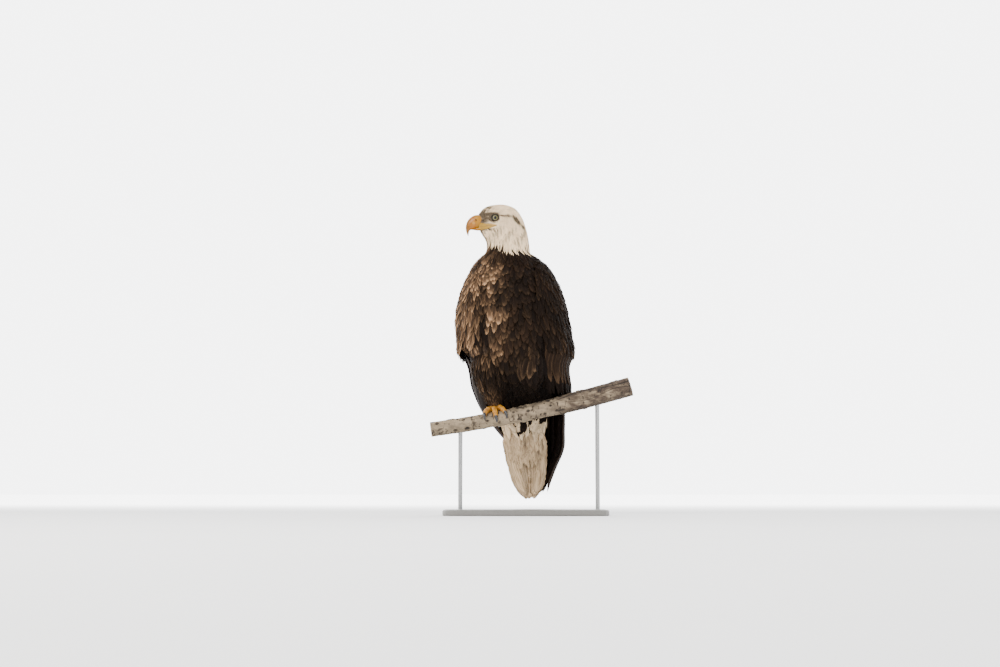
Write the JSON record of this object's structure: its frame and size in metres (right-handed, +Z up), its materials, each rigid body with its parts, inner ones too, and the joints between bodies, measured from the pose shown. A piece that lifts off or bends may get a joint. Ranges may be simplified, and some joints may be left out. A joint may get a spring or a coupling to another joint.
{
  "type": "bald eagle perched on a branch",
  "caption": "Life-size still bald eagle standing upright on a cut length of branch, head turned over its shoulder, on a flat base with rods.",
  "frame": {"origin": "centre of the base's underside", "axes": "+Z up; the bird's body faces -Y, its left side is towards +X, and its head looks towards -X"},
  "size_m": [0.5502, 0.3169, 0.8391],
  "materials": {
    "plumage_white": "white feathers with grey and buff shading and a few dusky streaks",
    "plumage_brown": "dark brown feathers with paler tan edges",
    "flight_feathers": "long blackish brown feathers",
    "tail_feathers": "off-white tail feathers with brown smudges",
    "bill_horn": "smooth yellow horn, amber at the hook",
    "eye": "wet cornea over a pale yellow iris",
    "toe_skin": "yellow scaly skin",
    "claw_horn": "black horn",
    "bark": "pale grey bark with dark flecks and furrows",
    "stand_paint": "satin warm grey paint",
    "stand_steel": "brushed steel rod"
  },
  "bodies": {
    "root": {"head": "plumage_white", "neck": "plumage_white", "trunk": "plumage_brown", "thigh_right": "plumage_brown", "tail": "tail_feathers", "bill_upper": "bill_horn", "bill_lower": "bill_horn", "eye_left": "eye", "wing_left": "plumage_brown", "primaries_left": "flight_feathers", "foot_left": "toe_skin", "claw_left_inner": "claw_horn", "claw_left_middle": "claw_horn", "claw_left_outer": "claw_horn", "claw_left_back": "claw_horn", "eye_right": "eye", "wing_right": "plumage_brown", "primaries_right": "flight_feathers", "foot_right": "toe_skin", "claw_right_inner": "claw_horn", "claw_right_middle": "claw_horn", "claw_right_outer": "claw_horn", "claw_right_back": "claw_horn", "perch": "bark", "stand_base": "stand_paint", "stand_rod_left": "stand_steel", "stand_rod_right": "stand_steel"}
  },
  "joints": []
}
